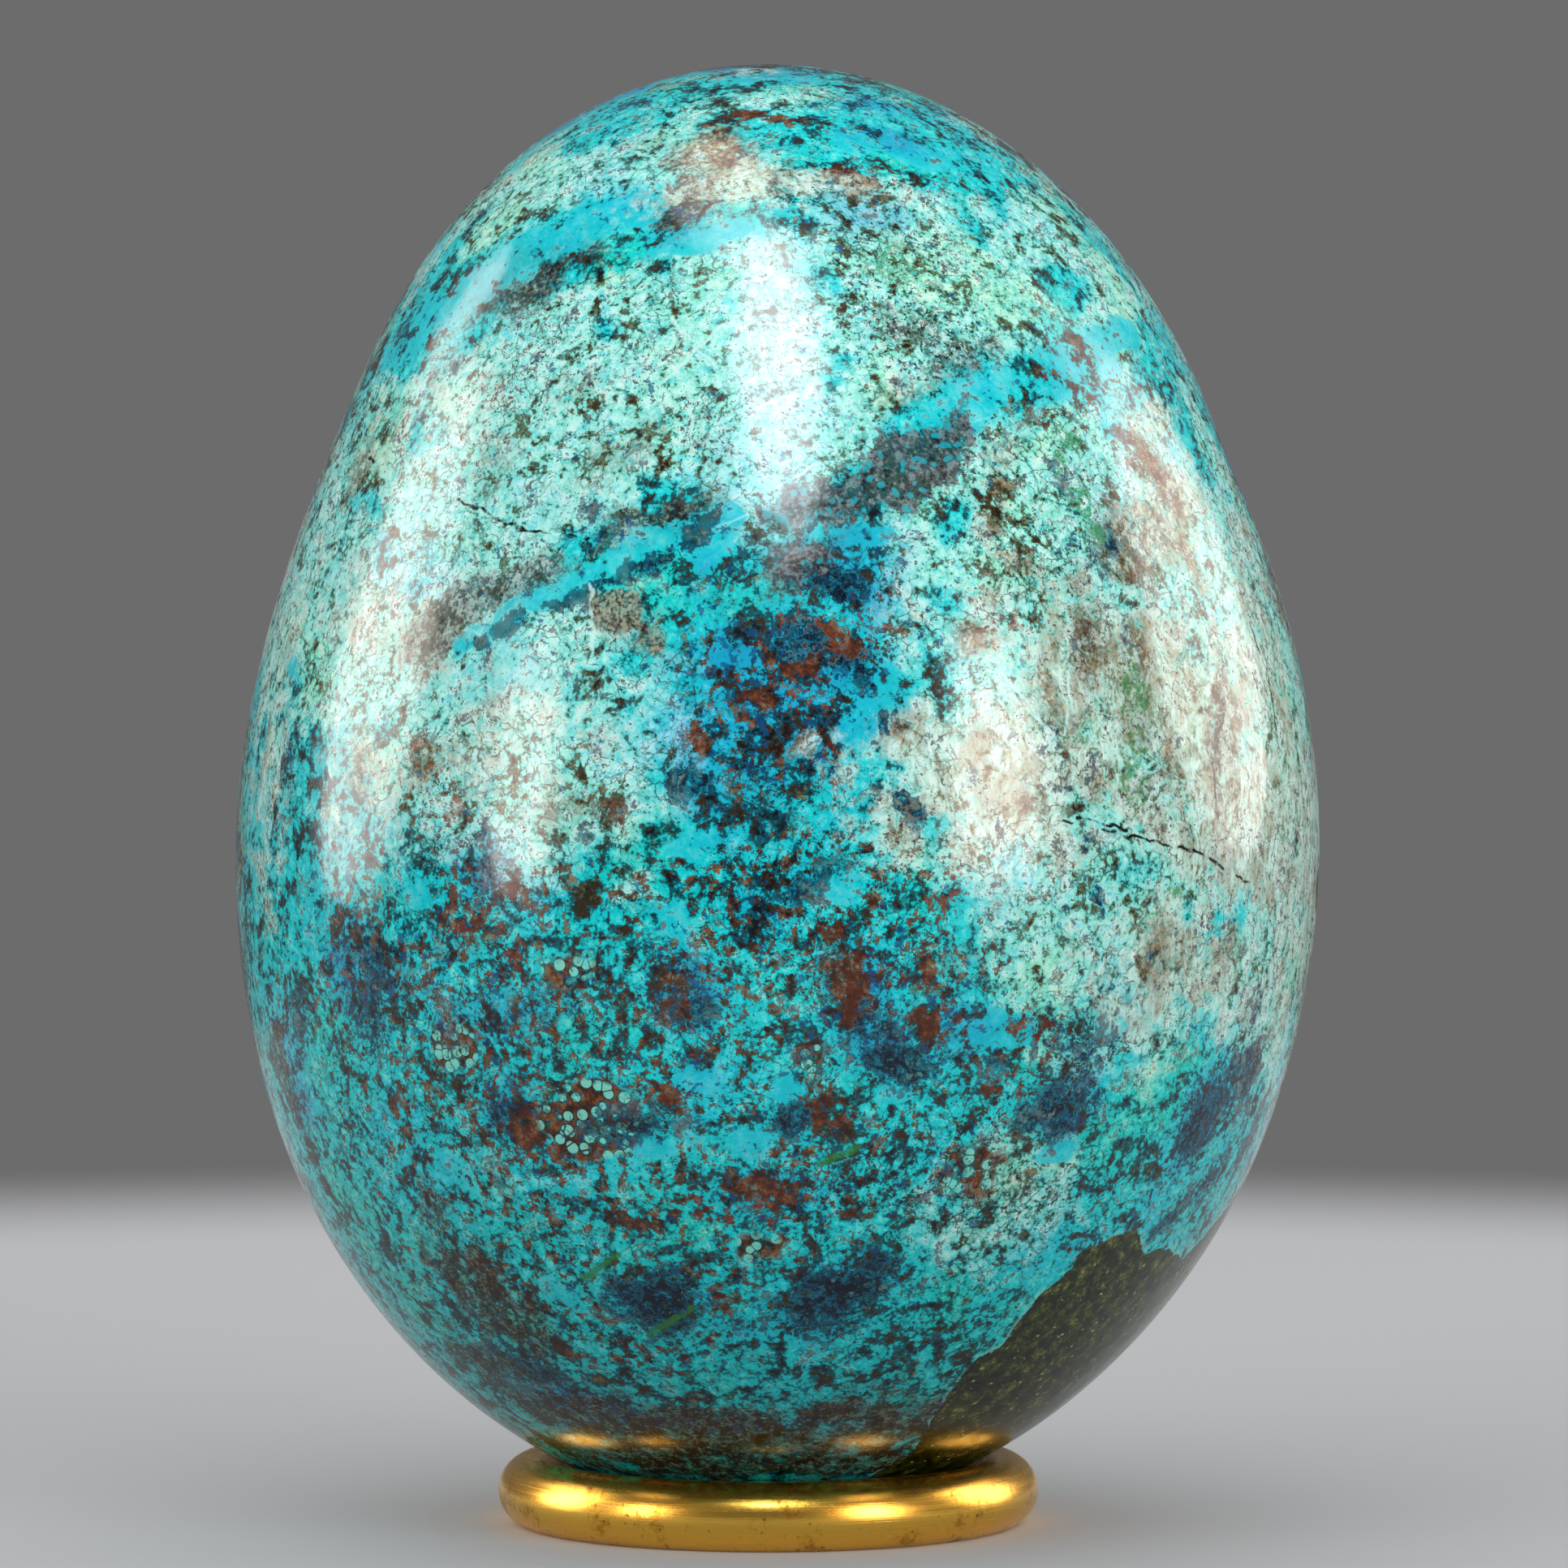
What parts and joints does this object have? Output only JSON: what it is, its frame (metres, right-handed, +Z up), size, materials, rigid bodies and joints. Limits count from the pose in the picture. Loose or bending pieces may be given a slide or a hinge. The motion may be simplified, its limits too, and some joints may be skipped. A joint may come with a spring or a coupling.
{
  "type": "stone egg on stand",
  "caption": "Polished blue-green mineral egg, larger than a hen's egg, standing blunt end down on a loose ring bent from round brass rod.",
  "frame": {"origin": "centre of the ring stand, on the surface that it stands on", "axes": "+Z up through the egg's tip, -Y towards the viewer, so that +X is at the viewer's right; the dark patch of host rock is at the lower right front"},
  "size_m": [0.06, 0.06, 0.0808],
  "materials": {
    "polished_stone": "polished, mottled turquoise, teal and cream with rust specks and a dark green patch of host rock",
    "polished_brass": "polished, with light tarnish and fine scratches"
  },
  "bodies": {
    "ring": {"brass_ring_stand": "polished_brass"},
    "egg": {"stone_egg": "polished_stone"}
  },
  "joints": [
    {"name": "egg_lift", "type": "slide", "parent": "ring", "child": "egg", "axis": [0, 0, 1], "range_m": [0, 0.04]}
  ]
}
